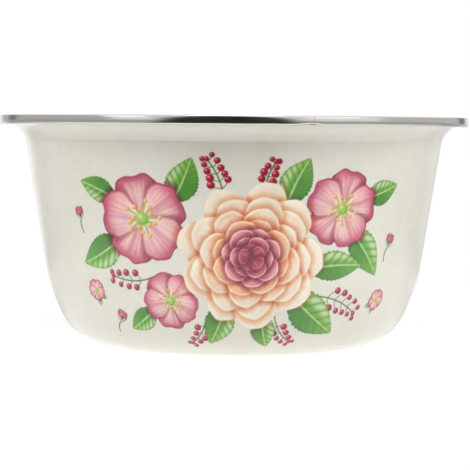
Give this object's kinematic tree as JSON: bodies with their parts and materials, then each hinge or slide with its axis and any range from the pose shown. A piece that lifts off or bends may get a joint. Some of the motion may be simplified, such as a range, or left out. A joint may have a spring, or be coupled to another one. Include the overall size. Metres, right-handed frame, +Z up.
{
  "type": "enamel bowl",
  "caption": "Round enamelled steel bowl with a flat standing ring, steep flaring wall, rolled stainless rim band and printed flowers, for mixing, washing or serving.",
  "frame": {"origin": "centre of the ring that the bowl stands on, in the standing plane", "axes": "+Z up along the bowl's axis, -Y towards the front print, +X to the right of a viewer facing that print"},
  "size_m": [0.22, 0.22, 0.107],
  "materials": {
    "cream_enamel": "gloss cream enamel",
    "ground_enamel": "dark ground coat under the cover enamel",
    "shell_steel": "pressed low-carbon sheet",
    "white_enamel": "gloss white enamel",
    "stainless": "polished stainless strip",
    "flower_print": "gloss fired colour transfer"
  },
  "bodies": {
    "root": {"outer_cover_coat": "cream_enamel", "outer_ground_coat": "ground_enamel", "steel_shell": "shell_steel", "inner_ground_coat": "ground_enamel", "inner_cover_coat": "white_enamel", "rim_band": "stainless", "front_transfer": "flower_print", "back_transfer": "flower_print"}
  },
  "joints": []
}
